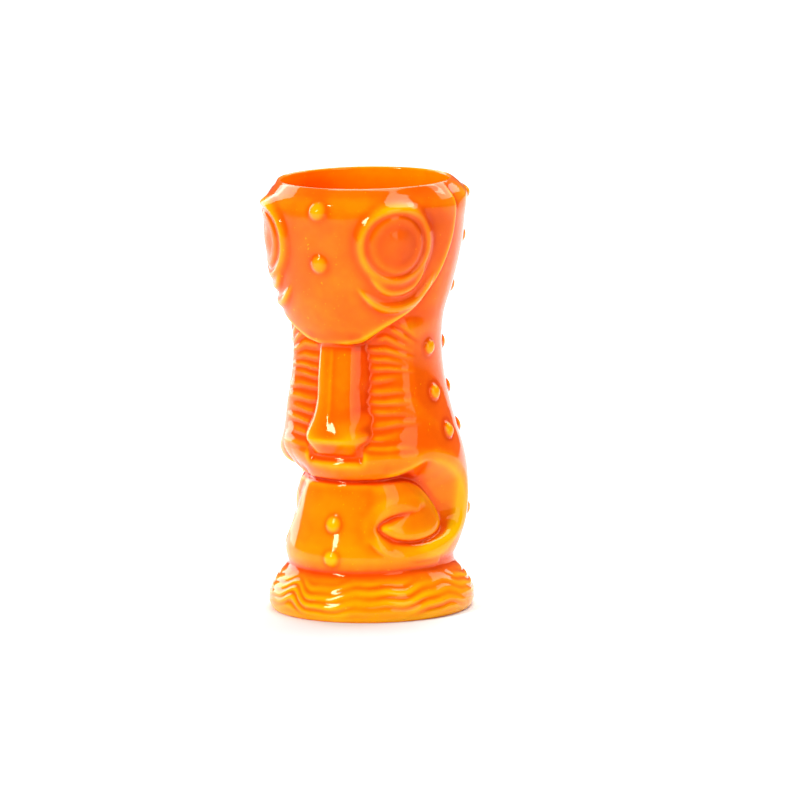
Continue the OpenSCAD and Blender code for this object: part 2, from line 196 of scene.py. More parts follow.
# How far the face is flattened beside each eye
TEMPLE_FLAT = [(98, 0), (104, 0.2), (108, 1.6), (114, 2.7), (125, 2.2), (137, 2.0),
               (147, 2.0), (152, 1.2), (156, 0.6)]
temple_flat = curve(heights, TEMPLE_FLAT)[:, None] * np.exp(-((A - 64) / 17) ** 2)
back_roll = 1.4 * np.exp(-((Z - 150.5) / 5) ** 2) * ease((A - 92) / 16)
body = curve(heights, BODY)[:, None] - temple_flat * (1 - ease((A - 90) / 8))
body = (body + back_roll).astype(np.float32)

# ---- the face between mouth and mask: flattened beside the nose ----
flat_width = 40 + 30 * ease((80 - Z) / 20)
face = body - 5.0 * (1 - ease((A - 25) / flat_width)) * ease((Z - 20) / 12)
# The heights of the wrinkles' crests beside the nose
FOLDS = [57.8, 61.9, 65.6, 69.8, 74.2, 78.0, 82.1, 85.9, 89.4, 93.0, 96.8, 100.6, 104.2, 108]


def wrinkles():
    """Rounded folds across the cheeks, bent upwards under the mask."""
    sway = 0.45 * np.sin(np.radians(3.3 * P + 22 * Z)) + 0.25 * np.sin(np.radians(11 * P + 60))
    level = Z + sway + 0.16 * np.maximum(A - 42, 0) ** 1.2 * ease((Z - 84) / 18)
    turn = np.interp(level, FOLDS, np.arange(len(FOLDS)))
    fold = 0.35 + 0.65 * np.cos(2 * pi * turn) - 0.35 * np.abs(np.sin(pi * turn)) ** 6
    reach = 60 + 7 * np.sin(turn * 2.6) + 14 * ease((Z - 90) / 14)
    across = ease((A - 12 - 7 * (P > 0)) / 8) * (1 - ease((A - reach + 22) / 26))
    upward = ease((Z - 58) / 4) * (1 - ease((Z - 109) / 5))
    return 0.28 * fold * (across * upward)


# ---- the mask ----
MASK = [(97, 27.0), (100, 27.7), (105, 30.0), (110, 32.0), (115, 33.6), (120, 34.8),
        (125, 35.7), (130, 36.3), (135, 36.8), (141, 37.1), (146, 37.1), (148.5, 36.7),
        (150.3, 35.9), (152.6, 33.9), (154.5, 31.8)]
MASK_EDGE = [(0, 98.4), (14, 98.4), (24, 99.2), (33, 101.8), (41, 104.5), (50, 107.2),
             (60, 110), (67.5, 113.2), (73, 117.5), (78, 122.5), (82.3, 128), (86, 134),
             (88.6, 140), (90, 147), (90, 158)]
edge_line = spline(MASK_EDGE)
edge_away, _ = to_line(A, Z, edge_line, 34.0)
in_mask = inside(A, Z, list(edge_line) + [(-5, 158), (-5, 98.4)])
mask_depth = np.where(in_mask, edge_away, -edge_away)
CRESCENTS = ((17.4, 1.7), (23.6, 1.9))          # distance from the eye and width of each fold
brow_arch = 0.6 * np.cos(np.radians(2 * (A - EYE_ANGLE)))


def fold_path(radius, turn):
    """Where a crescent fold lies: its distance from the eye, and how far in from its ends."""
    swing = np.degrees(np.arctan2(np.cos(turn), -np.sin(turn)))
    t = 1 - np.abs(swing - 7) / 56
    return radius - 2.4 * (1 - ease(t / 0.75)), t


def mask_relief():
    """Everything that stands out of the mask's own curve."""
    away, turn = around_eye()
    disc = (0.55 * ease((10.9 - away) / 1.6) - 0.2 * ease((8.4 - away) / 1.8)
            + 0.35 * ease((7 - away) / 7))
    ring = 0.75 * np.exp(-((away - 13.2) / 1.8) ** 2)
    groove = 0.25 * np.exp(-((away - 11.1) / 0.8) ** 2)
    out = 0.9 * ease((16.8 - away) / 4) + disc + ring - groove
    for radius, thick in CRESCENTS:
        bend, t = fold_path(radius, turn)
        width = thick * (0.3 + 0.7 * ease(t / 0.6))
        off = (away - bend) / width
        off = np.where(off > 0, off * 1.5, off * 0.85)
        out += 1.35 * ease(clamp(t) / 0.4) * np.exp(-np.abs(off) ** 2.2)
    strength = (0.12 + 0.88 * ease((A - 16) / 34)) * (1 - 0.75 * ease((A - 80) / 10))
    off = Z - 147.4 - brow_arch
    width = np.where(off > 0, 2.6, 3.4)
    out += (1.05 - 0.35 * ease((A - 50) / 14)) * strength * np.exp(-(off / width) ** 2)
    return out - temple_flat


# ---- mouth, chin and scrolls ----
CHIN = [(neck_z, 29.7), (19, 30.2), (21, 30.6), (25, 30.2), (28, 29.3), (32, 28.0),
        (36, 27.0), (40, 26.2), (44, 25.5), (49, 24.8), (52, 24.8)]
MOUTH_Z = 49.2          # the slit's height in the middle of the face
# The mouth's slit, out along the lip, round the curl and back in under it
SLIT = [(0, MOUTH_Z), (20, MOUTH_Z), (40, 49.6), (57, 49.4), (72, 46.6), (85, 41.2), (93, 35.5),
        (91, 30.6), (79, 27.8), (62, 26.7), (47, 27.8), (37, 30.3), (33.4, 32.6),
        (37.5, 34.8), (52, 36.9), (66.4, 37.9)]
# The crest of the band that curls in above the slit's end
BAND = [(70, 41.4), (60, 42.6), (48, 42.4), (35, 40.4), (28.5, 37.4), (24.8, 33.3), (26, 29)]
# The outer crest of the hollow round the curl, from the band's end back to the upper lip
CREST = [(35, 40.4), (28.5, 37.4), (24.8, 33.3), (26, 29), (32.4, 25), (43.3, 21.8),
         (57.5, 19.9), (72, 19.7), (85, 22), (95, 27.5), (101.5, 34), (103, 41), (99, 47.5),
         (90, 52), (79, 55.2), (69, 56.4), (58, 54), (47, 51.2), (36, 50.2), (20, 49.9),
         (0, 49.8)]
SLIT_TURN = 12 * SPAN   # the slit's innermost point, where it doubles back under the curl
SCROLL_FROM = 18        # where the scroll's own outline joins the slit
JAW_FROM = 3 * SPAN     # where the jaw's outline joins the slit
BAND_JOIN = 1 * SPAN    # where the crest leaves the band
CREST_SIDE = 8 * SPAN   # where the crest turns up at the side of the belly
SLIT_DEPTH = 2.7
SCROLL_R = 27.0

# The left scroll is narrower and further back, and the mouth opens wider above it
M = np.where(P < 0, np.interp(A, [0, 52, 108, 180], [0, 24.6, 103, 180]), A)
lift = np.interp(A, [0, 7, 20, 33, 48, 63, 75], [0, 0.2, 0.8, 1.6, 2.7, 2.4, 0]) * (P < 0)
MZ = Z - lift * ease((Z - 48) / 6)

slit_line, band_line, crest_line = [list(spline(line)) for line in (SLIT, BAND, CREST)]
slit_outer, slit_inner = slit_line[:SLIT_TURN + 1], slit_line[SLIT_TURN:]
lower_crest = crest_line[BAND_JOIN:CREST_SIDE]
slit_away, slit_along = to_line(M, MZ, slit_line, SCROLL_R)
crest_away, _ = to_line(M, MZ, crest_line, 30.0)
band_away, _ = to_line(M, MZ, band_line, SCROLL_R)
channel = inside(M, MZ, slit_outer + crest_line[BAND_JOIN:])
band = inside(M, MZ, slit_inner + band_line[:4 * SPAN + 1])
below_lip = inside(M, MZ, [(-5, 10), (-5, MOUTH_Z)] + slit_outer + lower_crest + [(72, 10)])
LEFT_CREASE = spline([(36, 50.5), (46, 45.5), (52, 41), (54, 36)])


def fall(t):
    """From 1 to 0, like a rolled edge seen from its side."""
    return (1 - clamp(t)) ** 1.7


def mouth_relief(face):
    """The face below the nose: lip, slit, curled scrolls, and the hollow round them."""
    chin = curve(Z, CHIN).astype(np.float32) + 0.5 * np.cos(np.radians(np.minimum(A * 1.5, 90)))
    raised = chin + 0.9 * ease((M - 25) / 15) * ease((Z - 24) / 6) * (P > 0)
    share = 0.55 + 0.45 * ease((M - 30) / 14) + 0.45 * ease((Z - 42) / 5)
    share = np.minimum(share * (1 - ease((slit_along - 0.88) / 0.12)), 1)
    depth = SLIT_DEPTH * share
    width = 1.8 + 3.4 * ease((M - 22) / 22)
    curl = raised - depth * (1 - bulge(slit_away / width))
    surface = np.where(Z > 49.5, face, chin + (face - chin) * ease((M - 40) / 30))
    on_lip = ease((64 - M) / 26) * ease((MZ - 47) / 3)
    on_left = np.where(P < 0, ease((A - 20) / 35), 0)
    low = ease((36 - Z) / 10)
    drop = (1.6 * ease((M - 26) / 20) * (1 - on_lip) * (1 - low)
            + (4.8 + 1.2 * on_left) * on_lip)
    rim = 3.4 + (4.8 + on_left) * on_lip
    outside = surface - drop * fall(crest_away / rim)
    floor = raised - depth
    t = slit_away / (slit_away + crest_away + 1e-3)
    ramp = t ** 1.25
    round_left = 1 - ease((M - 31) / 13)
    ramp = ramp + (bulge(t) - ramp) * np.maximum(low, round_left)
    crest = surface - drop
    hollow = floor + (crest + (raised + 0.4 - crest) * round_left - floor) * ramp
    t = slit_away / (slit_away + band_away + 1e-3)
    arm = floor + (raised + 0.4 - floor) * bulge(t)
    curl = curl + np.where(below_lip, 0.4 * np.exp(-(band_away / 2.2) ** 2), 0)
    out = np.where(band, arm, np.where(channel, hollow, np.where(below_lip, curl, outside)))
    crease_away, _ = to_line(A, Z, LEFT_CREASE, SCROLL_R)
    return out - np.where(P < 0, 0.75 * np.exp(-(crease_away / 2.8) ** 2), 0)


# ---- the nose ----
TIP_Z = 64.4            # the nose's lower edge, under which it is cut back
NOSE_OUT = [(TIP_Z, 32.9), (67.5, 32.2), (75, 30.1), (87, 28.5), (97, 26.7), (104, 25.6)]
NOSE_HALF = [(TIP_Z, 9.9), (66.5, 10.1), (69, 9.2), (73, 7.8), (78, 7.0), (87, 6.8), (104, 6.6)]
NOSE_SLANT = 0.64       # how far its right side spreads, for each millimetre inwards
NOSE_CORNER = 9.0       # how sharp its front edges are


def nose():
    """A bar with sloping sides, which widens and stands out to the nostrils, then is cut under."""
    under = np.maximum((TIP_Z - Z) / 5.6, 0)
    gone = ease((58.9 - Z) / 1.4)
    z = np.maximum(Z, TIP_Z)
    half = curve(z, NOSE_HALF) - 1.2 * under - 1.2 * (P > 0) * ease((Z - 69) / 7)
    out = curve(z, NOSE_OUT) - 5.0 * under - 8 * gone
    s, c = np.abs(np.sin(np.radians(P))), np.maximum(np.cos(np.radians(P)), 1e-3)
    slant = NOSE_SLANT * np.where(P > 0, 1 - 0.5 * ease((74 - Z) / 7), 0.4)
    here = (A < 75) & (Z > 56) & (Z < 103)
    side = np.where(here, (half + slant * out) / (s + slant * c), 1)
    front = np.where(here, out / c, 1)
    r = (side ** -NOSE_CORNER + front ** -NOSE_CORNER) ** (-1 / NOSE_CORNER)
    return np.where(here, r, 0)


def nose_shadow():
    """A pocket between the nose and the lip."""
    across = 1 - ease((np.abs(np.sin(np.radians(P))) * 28 - 9.5) / 2)
    return 1.8 * across * (A < 90) * np.exp(-((Z - 58.2) / 1.9) ** 2)


# ---- the foot ----
FOOT_R, FOOT_NECK_R = 36.8, 29.9


def foot():
    """The flared foot: carved grain that wanders round it, with one swirl."""
    drop = clamp((neck_z - Z) / (neck_z - 4.0))
    r = FOOT_R - (FOOT_R - FOOT_NECK_R) * (1 - np.sin(drop * pi / 2) ** 1.15)
    r = r - 2.2 * (1 - bulge((Z + 0.4) / 3.6))
    turn = np.radians(P)
    warp = 1.5 * np.sin(3 * turn + 0.6) + 0.9 * np.sin(7 * turn + 2.1) + 0.35 * np.sin(17 * turn)
    swirl_away = np.hypot((P + 22) * 0.6, Z - 9.5)
    warp = warp + 2.4 * np.exp(-(swirl_away / 7) ** 2) * np.sin(turn * 8 + 2)
    wave = np.sin(2 * pi * (Z + warp) / (3.1 + 0.5 * np.sin(2 * turn)))
    wave = 0.35 + 0.65 * wave - 0.3 * clamp(-wave) ** 4
    strength = ease((neck_z - 2 - Z) / 2.5) * ease((Z - 1.2) / 3)
    strength = strength * (0.65 + 0.35 * np.sin(5 * turn + 1 + 0.3 * Z))
    return r + 0.42 * wave * strength


# ---- the beads, as (angle, height); the side ones are on both sides ----
SIDE_BEADS = [(82, 96), (83.5, 80), (90.5, 66)]
SIDE_BEADS += [(126, z) for z in (149, 133, 115, 95, 79, 65, 34)]
BACK_BEADS = [(180, z) for z in (141, 124, 87, 72, 43)]
BROW_BEADS = [(0, 147.5), (0, 128.5)]
CHIN_BEADS = [(-1, 34), (0, 21.9)]


def relief():
    """The radius of the whole outer surface."""
    surface = face + wrinkles()
    surface = np.where(Z < 62, mouth_relief(surface), surface)
    surface = soft_max(surface - nose_shadow(), nose(), 0.6)
    mask = curve(heights, MASK)[:, None] + mask_relief()
    step = bulge(mask_depth / 1.3) * (mask_depth > 0)
    surface = surface + (np.maximum(mask, surface) - surface) * step
    for a, z in SIDE_BEADS:
        surface = bead(surface, a, z, 2.9, 1.9 if a < 100 else 1.5)
    for a, z in BACK_BEADS:
        surface = bead(surface, a, z, 2.9, 1.7)
    for a, z in BROW_BEADS:
        surface = bead(surface, a, z, 3.4, 1.5, both=False)
    for a, z in CHIN_BEADS:
        surface = bead(surface, a, z, 3.0, 1.0, both=False)
    surface = np.where(Z < neck_z, foot(), surface)
    return blur(surface.astype(np.float32), 0.40)


def tone_and_painted_shade():
    """Tone for the glaze's colour: above 0 it is yellow, as where the glaze lies thin on the
    ridges, and towards the bottom, on the chin; below 0 it is red, as where it pools.
    The eyes and the nose's sides are made redder as painted shade."""
    fine, broad = R - blur(R, 1.3), R - blur(R, 4.5)
    strength = 1.25 - 0.55 * ease((mask_depth - 1) / 2)
    reddest = -0.14 - 0.2 * ease((58 - Z) / 2)
    out = np.clip(strength * fine, reddest, 0.40) + 0.02 * broad + 0.17 * ease((52 - Z) / 12)
    # Painted shade: the eye discs are made darker and redder, as for eyes that face away from the
    # light.
    away, _ = around_eye()
    out -= 0.09 * ease((10.8 - away) / 2)
    # Painted shade: the nose's sides are made darker and redder, fading out towards the nostrils.
    x = R * np.abs(np.sin(np.radians(P)))
    nose_side_shade = ease((x - curve(np.maximum(Z, TIP_Z), NOSE_HALF) + 0.5) / 1.2) * (nose_map > 0.5)
    out -= 0.14 * blur((nose_side_shade * ease((Z - 70) / 8)).astype(np.float32), 0.8)
    yellow = (channel & (M > 55)) * ease((M - 60) / 20) * (0.22 + 0.12 * ease((45 - Z) / 9))
    return out + blur(yellow.astype(np.float32), 1.2)


R = relief()
slope_z, slope_a = np.gradient(R, ROW, radians(360 / COLUMNS))
nose_map = nose() - (face + wrinkles()) + 0.35      # above 0 on the nose
tone_map = tone_and_painted_shade()


def sample(m, angle, height):
    """A map's value at any angles and heights."""
    x = (np.asarray(angle) + 180) * COLUMNS / 360 - 0.5
    y = np.clip((np.asarray(height) - LOW) / ROW, 0, m.shape[0] - 1.001)
    x0, y0 = np.floor(x).astype(int), np.floor(y).astype(int)
    u, v = x - x0, y - y0
    xa, xb = x0 % COLUMNS, (x0 + 1) % COLUMNS
    return ((m[y0, xa] * (1 - u) + m[y0, xb] * u) * (1 - v)
            + (m[y0 + 1, xa] * (1 - u) + m[y0 + 1, xb] * u) * v)


# ---- one mesh of the whole outer surface ----
CELL = 0.4
SKIN_TOP = 152.5        # from here up, the rim is part of the cup's own solid
CAP_R = 19              # every point of the relief lies outside this
FOOT_GAP = 0.03         # the glazed foot stops just short of the table


def polar(p):
    """Radius and angle from the middle of the face."""
    return np.hypot(p[:, 0], p[:, 1]), np.degrees(np.arctan2(p[:, 0], -p[:, 1]))


def gradient(p):
    """How fast a point leaves the relief along x, y and z, from the relief's slopes."""
    r, a = polar(p)
    along, up = sample(slope_a, a, p[:, 2]) / r, sample(slope_z, a, p[:, 2])
    t = np.radians(a)
    return np.stack([np.sin(t) - along * np.cos(t), -np.cos(t) - along * np.sin(t), -up], 1)


def normals_at(p):
    """Unit normals of the relief."""
    out = gradient(p)
    return out / np.linalg.norm(out, axis=1)[:, None]


def outer_sheet():
    """Vertices and triangles of the outer surface, from a volume sliced by height."""
    reach = 41.0
    x = np.arange(-reach, reach, CELL)
    z = np.arange(-0.4, mug_h - 0.6, CELL)
    gx, gy = np.meshgrid(x, x, indexing="ij")
    at = (np.degrees(np.arctan2(gx, -gy)) + 180) * COLUMNS / 360 - 0.5
    x0 = np.floor(at).astype(int)
    u = at - x0
    xa, xb = x0 % COLUMNS, (x0 + 1) % COLUMNS
    volume = np.empty((len(x), len(x), len(z)), np.float32)
    for k, h in enumerate(z):
        y = (h - LOW) / ROW
        row = R[int(y)] * (1 - y % 1) + R[int(y) + 1] * (y % 1)
        volume[:, :, k] = np.hypot(gx, gy) - (row[xa] * (1 - u) + row[xb] * u)
    limit = 3.0
    grid = openvdb.FloatGrid(limit)
    grid.copyFromArray(np.clip(volume, -limit, limit))
    points, triangles, quads = grid.convertToPolygons(isovalue=0.0, adaptivity=0.0)
    points = np.array(points, float) * CELL + [x[0], x[0], z[0]]
    quads = np.array(quads, int)
    triangles = np.array(triangles, int).reshape(-1, 3)
    faces = np.vstack([quads[:, [0, 1, 2]], quads[:, [0, 2, 3]], triangles])
    # The middles of the volume's top and bottom caps go. What is left of them is cut off later.
    keep = np.hypot(points[:, 0], points[:, 1]) > CAP_R
    faces = (np.cumsum(keep) - 1)[faces[keep[faces].all(1)]]
    points = points[keep]
    # The points move onto the relief itself
    for _ in range(3):
        r, a = polar(points)
        gap = r - sample(R, a, points[:, 2])
        grad = gradient(points)
        step = grad * (gap / (grad ** 2).sum(1))[:, None]
        length = np.linalg.norm(step, axis=1)[:, None]
        points -= step * np.minimum(1, 0.5 * CELL / np.maximum(length, 1e-9))
    p, q, r = points[faces[:, 0]], points[faces[:, 1]], points[faces[:, 2]]
    normal, middle = np.cross(q - p, r - p), (p + q + r) / 3
    if (normal[:, 0] * middle[:, 0] + normal[:, 1] * middle[:, 1]).sum() < 0:
        faces = faces[:, ::-1]
    return points, faces


def cut(points, faces, values):
    """Splits a sheet along values = 0: the vertices, then the faces below 0 and above it."""
    values = np.where(np.abs(values) < 1e-6, 1e-6, values)
    sign = values[faces] > 0
    count = sign.sum(1)
    below, above = [faces[count == 0]], [faces[count == 3]]
    made = []
    for lone_above in (True, False):
        mixed = count == (1 if lone_above else 2)
        f, s = faces[mixed], sign[mixed]
        lone = np.argmax(s if lone_above else ~s, 1)
        rows = np.arange(len(f))
        made.append((f[rows, lone], f[rows, (lone + 1) % 3], f[rows, (lone + 2) % 3], lone_above))
    edges = np.vstack([np.stack([a, b], 1) for a, b, _, _ in made]
                      + [np.stack([a, c], 1) for a, _, c, _ in made])
    edges.sort(axis=1)
    unique, inverse = np.unique(edges, axis=0, return_inverse=True)
    inverse = inverse.ravel() + len(points)
    va, vb = values[unique[:, 0]], values[unique[:, 1]]
    t = (va / (va - vb))[:, None]
    points = np.vstack([points, points[unique[:, 0]] * (1 - t) + points[unique[:, 1]] * t])
    sizes = [len(made[0][0]), len(made[1][0])]
    starts = np.cumsum([0] + sizes + sizes)
    for i, (a, b, c, lone_above) in enumerate(made):
        ab, ac = inverse[starts[i]:starts[i + 1]], inverse[starts[i + 2]:starts[i + 3]]
        tip = np.stack([a, ab, ac], 1)
        rest = np.vstack([np.stack([ab, b, c], 1), np.stack([ab, c, ac], 1)])
        (above if lone_above else below).append(tip)
        (below if lone_above else above).append(rest)
    return points, np.vstack(below), np.vstack(above)


# The hidden surface that the sculpted members sit on, as (height, radius)
CORE = [(0, 25.5), (27, 25.5), (32, 21.8), (57, 21.8), (65, 20.4), (97, 20.4), (110, 26.0),
        (130, 31.0), (147, 32.3), (mug_h, 30.8)]


def core_radius(z):
    return np.interp(z, *zip(*CORE))


# ---- outlines of the members, as maps that are positive inside ----
LIP_TOP = 57.5          # where the upper lip meets the cheeks
CHEEK_TOP = 110.0       # hidden behind the mask in front
FACE_SIDE = 108.0       # the angle where the members of the face meet the back
FAR = -99.0             # outside every outline


def eye_gap(radius):
    return radius - around_eye()[0]


def beads_map(places, size, both=False):
    """Discs of one size about some places, or about each place on both sides."""
    best = np.full(Z.shape, FAR, np.float32)
    for a, z in places:
        turn = A - a if both else np.abs((P - a + 180) % 360 - 180)
        best = np.maximum(best, size - np.hypot(turn * sample(R, a, z) * pi / 180, Z - z))
    return best


def folds_map():
    """Both crescent folds under each eye."""
    away, turn = around_eye()
    best = np.full(Z.shape, FAR, np.float32)
    for radius, thick in CRESCENTS:
        bend, t = fold_path(radius, turn)
        best = np.maximum(best, thick * 1.4 * bulge(t * 3) - 0.02 - np.abs(away - bend))
    return best


scroll_outline = slit_outer[SCROLL_FROM:] + [(30, 36.3), (27, 40), (24, 45), (21, 49)]
scroll_map = depth_in(M, MZ, scroll_outline, SCROLL_R)
jaw_outline = (slit_outer[JAW_FROM:] + [(30, 36.3)] + lower_crest
               + [(72, neck_z - 1), (FACE_SIDE, neck_z - 1), (FACE_SIDE, LIP_TOP),
                  (68, LIP_TOP), (62, 52)])
jaw_map = depth_in(M, MZ, jaw_outline, SCROLL_R)
lip_map = np.minimum(np.minimum(LIP_TOP - Z, MZ - MOUTH_Z - 0.15), 90 - A)
chin_map = np.minimum(LIP_TOP - Z, FACE_SIDE - A)
cheek_map = np.minimum(CHEEK_TOP - Z, FACE_SIDE - A)
brow_map = np.minimum(3.0 - np.abs(Z - 148.9 - brow_arch), (88 - A) * 0.6)
mask_map = mask_depth + 0.25
sides = {"left": -1, "right": 1}


def one_side(m, side):
    """A map of both sides, kept on one."""
    return np.minimum(m, sides[side] * P * 0.5)


# Each member is cut out of what the ones before it left
MEMBERS = [("plinth", neck_z + 0.15 - Z), ("forehead_beads", beads_map(BROW_BEADS, 4.2)),
           ("chin_beads", beads_map(CHIN_BEADS, 3.6)), ("back_beads", beads_map(BACK_BEADS, 3.5))]
for side in sides:
    MEMBERS += [("side_beads_" + side, one_side(beads_map(SIDE_BEADS, 3.5, True), side)),
                ("eye_" + side, one_side(eye_gap(10.7), side)),
                ("eye_socket_" + side, one_side(eye_gap(14.9), side)),
                ("eye_folds_" + side, one_side(folds_map(), side))]
MEMBERS += [("brow_ridge", brow_map), ("mask_plate", mask_map), ("nose", nose_map)]
for side in sides:
    MEMBERS += [("scroll_" + side, one_side(scroll_map, side)),
                ("jaw_" + side, one_side(jaw_map, side))]
MEMBERS += [("upper_lip", lip_map), ("chin_plate", chin_map)]
MEMBERS += [("cheek_" + side, one_side(cheek_map, side)) for side in sides]
MEMBERS += [("body_back", CHEEK_TOP - Z)]


def close(points, faces):
    """A sheet made solid: its copy on the hidden core, turned over, and walls between the two."""
    used, faces = np.unique(faces, return_inverse=True)
    faces = faces.reshape(-1, 3)
    outer = points[used]
    r, _ = polar(outer)
    inner = outer.copy()
    inner[:, :2] *= (np.minimum(core_radius(outer[:, 2]), r - 0.5) / r)[:, None]
    n = len(outer)
    edges = np.vstack([faces[:, [0, 1]], faces[:, [1, 2]], faces[:, [2, 0]]])
    key = edges[:, 0] * n + edges[:, 1]
    back = edges[:, 1] * n + edges[:, 0]
    rim = edges[~np.isin(key, back)]
    a, b = rim[:, 0], rim[:, 1]
    walls = np.vstack([np.stack([b, a, a + n], 1), np.stack([b, a + n, b + n], 1)])
    solid = np.vstack([faces, faces[:, ::-1] + n, walls])
    normals = np.vstack([normals_at(outer), -normals_at(outer)])
    return np.vstack([outer, inner]), solid, normals


CORE_RINGS = 41         # rings of the hidden core, under the members
RIM_RING = CORE_RINGS   # the first ring of the cup that shows, where it meets the relief
RIM_RINGS = 14          # rings from there to the top of the rim
# The bowl, throat, room in the belly and floor, as (height, radius) from the rim down
BOWL = [(mug_h - 0.9, 30.1), (mug_h - 3.2, 30.2), (148, 30.8), (143, 31.2), (135, 31.0),
        (126, 29.0), (117, 25.6), (108, 20.8), (100, 18.2), (90, 17.5), (66, 17.6), (57, 19.3),
        (34, 19.5), (27, 22), (16, 22.4), (11, 21.0), (8.8, 17.5), (8.1, 13), (8.0, 6),
        (8.0, 0.05)]


def cup():
    """The cup's own solid: hidden core, rounded rim, bowl, throat, room in the belly, and floor."""
    turns = 360
    a = np.arange(turns) * 360 / turns - 180
    edge, lean = sample(R, a, SKIN_TOP), sample(slope_z, a, SKIN_TOP)
    rings = []
    for z in np.concatenate([[ring_h], np.linspace(neck_z, SKIN_TOP, CORE_RINGS - 1)]):
        rings.append((np.full(turns, core_radius(z)), np.full(turns, z)))
    # A Bezier curve carries the relief's own lean over to the top of the rim
    top_r = 30.9
    in_z, in_r = BOWL[0]
    handle = (mug_h - SKIN_TOP) * 0.55
    for t in np.linspace(0, 1, RIM_RINGS):
        weights = (1 - t) ** 3, 3 * (1 - t) ** 2 * t, 3 * (1 - t) * t ** 2, t ** 3
        r = sum(w * b for w, b in zip(weights, (edge, edge + lean * handle, top_r + 0.6, top_r)))
        z = sum(w * b for w, b in zip(weights, (SKIN_TOP, SKIN_TOP + handle, mug_h, mug_h)))
        rings.append((r, np.full(turns, z)))
    for t in np.linspace(0, pi / 2, 8)[1:]:
        rings.append((np.full(turns, in_r + (top_r - in_r) * (1 - sin(t))),
                      np.full(turns, in_z + (mug_h - in_z) * cos(t))))
    for z, r in spline(BOWL, 6)[1:]:
        rings.append((np.full(turns, r), np.full(turns, z)))
    return a, rings


def lathe(a, rings):
    """A closed mesh of rings, capped at both ends."""
    t = np.radians(a)
    n = len(a)
    points = np.vstack([np.stack([r * np.sin(t), -r * np.cos(t), z], 1) for r, z in rings])
    i, k = np.meshgrid(np.arange(len(rings) - 1), np.arange(n), indexing="ij")
    i, k = i.ravel(), k.ravel()
    p, q = i * n + k, i * n + (k + 1) % n
    faces = np.vstack([np.stack([p, q, q + n], 1), np.stack([p, q + n, p + n], 1)])
    ends = []
    k = np.arange(n)
    for ring, flip in ((0, True), (len(rings) - 1, False)):
        middle = len(points)
        points = np.vstack([points, [[0, 0, rings[ring][1][0]]]])
        tri = np.stack([ring * n + k, ring * n + (k + 1) % n, np.full(n, middle)], 1)
        ends.append(tri[:, ::-1] if flip else tri)
    return points, np.vstack([faces] + ends)


# ---- building the pieces ----
def make_piece(name, points, faces, tone):
    """A glazed piece in the CAD node's place, from points in millimetres and their tone."""
    mesh = bpy.data.meshes.new(name)
    mesh.vertices.add(len(points))
    mesh.vertices.foreach_set("co", (points * MM).astype(np.float32).ravel())
    mesh.loops.add(len(faces) * 3)
    mesh.loops.foreach_set("vertex_index", faces.astype(np.int32).ravel())
    mesh.polygons.add(len(faces))
    mesh.polygons.foreach_set("loop_start", np.arange(0, len(faces) * 3, 3, dtype=np.int32))
    mesh.update(calc_edges=True)
    mesh.polygons.foreach_set("use_smooth", np.ones(len(faces), bool))
    layer = mesh.attributes.new("tone_and_painted_shade", "FLOAT", "POINT")
    layer.data.foreach_set("value", tone.astype(np.float32))
    mesh.materials.append(glaze)
    piece = bpy.data.objects.new(name, mesh)
    bpy.context.scene.collection.objects.link(piece)
    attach(piece, "root")
    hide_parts(name)
    return piece


def tone_and_shade_values(points):
    """The tone at some points: the glaze's own, with its painted shade."""
    _, a = polar(points)
    return sample(tone_map, a, points[:, 2])


def cup_values(points, turns):
    """The tone over the rim carries on from the relief. Inside the bowl the wall is made
    yellower towards the top, as painted light.
    """
    ring = np.arange(len(points)) // turns
    z = points[:, 2]
    _, a = polar(points)
    over = sample(tone_map, a, SKIN_TOP) * (mug_h - z) / (mug_h - SKIN_TOP)
    # Painted light: the inside of the bowl is made yellower towards the rim, where the light falls.
    bowl_top_painted_light = 0.26 * ease((z - 141) / 12)
    return np.select([ring < RIM_RING, ring < RIM_RING + RIM_RINGS], [0, over], bowl_top_painted_light)


# ---- materials ----
# The red end also serves as painted shade, and the yellow end as painted light inside the bowl.
GLAZE_ENDS = (0.55, 0.022, 0.0, 1), (1.0, 0.48, 0.0, 1)         # pooled red, thin yellow
GLAZE_BETWEEN = ((0.20, (0.80, 0.055, 0.0, 1)), (0.42, (0.97, 0.122, 0.0, 1)),
                 (0.60, (1.0, 0.22, 0.0, 1)))


def new_material(name):
    """A material with its node tree and its shader."""
    m = bpy.data.materials.new(name)
    m.use_nodes = True
    return m, m.node_tree, m.node_tree.nodes["Principled BSDF"]


def put(node, **values):
    """Sets sockets by name, with _ for a space."""
    for socket, value in values.items():
        node.inputs[socket.replace("_", " ")].default_value = value


def noise(tree, coords, scale, detail):
    n = tree.nodes.new("ShaderNodeTexNoise")
    put(n, Scale=scale, Detail=detail)
    tree.links.new(coords, n.inputs["Vector"])
    return n.outputs["Fac"]


def colour_ramp(tree, level, ends, between=()):
    ramp = tree.nodes.new("ShaderNodeValToRGB")
    for stop, colour in zip(ramp.color_ramp.elements, ends):
        stop.color = colour
    for place, colour in between:
        ramp.color_ramp.elements.new(place).color = colour
    tree.links.new(level, ramp.inputs["Fac"])
    return ramp.outputs["Color"]


def bump(tree, height, strength, distance):
    n = tree.nodes.new("ShaderNodeBump")
    put(n, Strength=strength, Distance=distance)
    tree.links.new(height, n.inputs["Height"])
    return n.outputs["Normal"]


